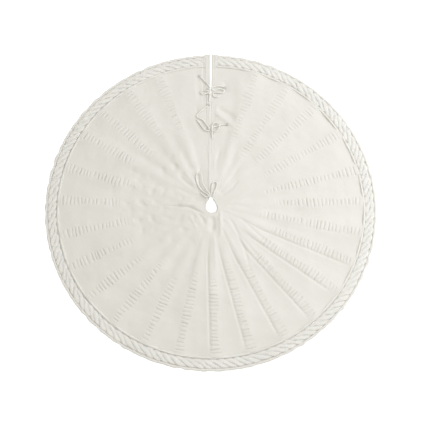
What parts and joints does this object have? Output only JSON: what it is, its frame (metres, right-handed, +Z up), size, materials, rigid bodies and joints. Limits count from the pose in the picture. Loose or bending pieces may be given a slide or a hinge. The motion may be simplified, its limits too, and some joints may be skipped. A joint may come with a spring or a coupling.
{
  "type": "tree skirt",
  "caption": "Round knitted tree skirt with raised radial ribs, a cabled border, a gathered neck hole and a slit closed by cord ties.",
  "frame": {"origin": "on the floor under the middle of the neck hole, which is the middle of the skirt's underside", "axes": "+Z up, out of the floor; +Y from the neck hole along the slit to the rim; +X to the right, seen with the slit at the far side"},
  "size_m": [1.2196, 1.22, 0.0412],
  "materials": {
    "panel_knit": "matt ivory acrylic knit",
    "border_knit": "matt ivory chunky cable knit",
    "band_knit": "matt ivory firm rib knit",
    "tie_cord": "cream twisted yarn cord",
    "stitching": "cream sewing thread, close satin stitch"
  },
  "bodies": {
    "main": {"knit_panel_05": "panel_knit", "knit_panel_06": "panel_knit", "knit_panel_07": "panel_knit", "knit_panel_08": "panel_knit", "knit_panel_09": "panel_knit", "knit_panel_10": "panel_knit", "knit_panel_11": "panel_knit", "knit_panel_12": "panel_knit", "knit_panel_13": "panel_knit", "knit_panel_14": "panel_knit", "knit_panel_15": "panel_knit", "knit_panel_16": "panel_knit", "knit_panel_17": "panel_knit", "knit_panel_18": "panel_knit", "knit_panel_19": "panel_knit", "knit_panel_20": "panel_knit", "knit_panel_21": "panel_knit", "knit_panel_22": "panel_knit", "border_band_main": "border_knit", "border_welt_main": "border_knit", "border_cable_main": "border_knit", "hem_roll_main": "border_knit", "neck_casing_main": "band_knit", "neck_drawcord_main": "tie_cord"},
    "left_flap": {"knit_panel_01": "panel_knit", "knit_panel_02": "panel_knit", "knit_panel_03": "panel_knit", "knit_panel_04": "panel_knit", "border_band_left_flap": "border_knit", "border_welt_left_flap": "border_knit", "border_cable_left_flap": "border_knit", "hem_roll_left_flap": "border_knit", "neck_casing_left_flap": "band_knit", "neck_drawcord_left_flap": "tie_cord", "placket_left": "band_knit", "tie_outer_left": "tie_cord", "tie_middle_left": "tie_cord", "tie_neck_left": "tie_cord", "tie_tack_outer_left": "stitching", "tie_tack_middle_left": "stitching"},
    "right_flap": {"knit_panel_23": "panel_knit", "knit_panel_24": "panel_knit", "knit_panel_25": "panel_knit", "knit_panel_26": "panel_knit", "border_band_right_flap": "border_knit", "border_welt_right_flap": "border_knit", "border_cable_right_flap": "border_knit", "hem_roll_right_flap": "border_knit", "neck_casing_right_flap": "band_knit", "neck_drawcord_right_flap": "tie_cord", "placket_right": "band_knit", "tie_outer_right": "tie_cord", "tie_middle_right": "tie_cord", "tie_neck_right": "tie_cord", "tie_tack_outer_right": "stitching", "tie_tack_middle_right": "stitching"}
  },
  "joints": [
    {"name": "left_flap_fold", "type": "hinge", "parent": "main", "child": "left_flap", "pos_m": [-0.01894, 0.0112, 0.036], "axis": [0.8601, -0.5086, 0.0399], "range_deg": [0, 160]},
    {"name": "right_flap_fold", "type": "hinge", "parent": "main", "child": "right_flap", "pos_m": [0.01894, 0.0112, 0.036], "axis": [0.8601, 0.5086, -0.0399], "range_deg": [0, 160]}
  ]
}
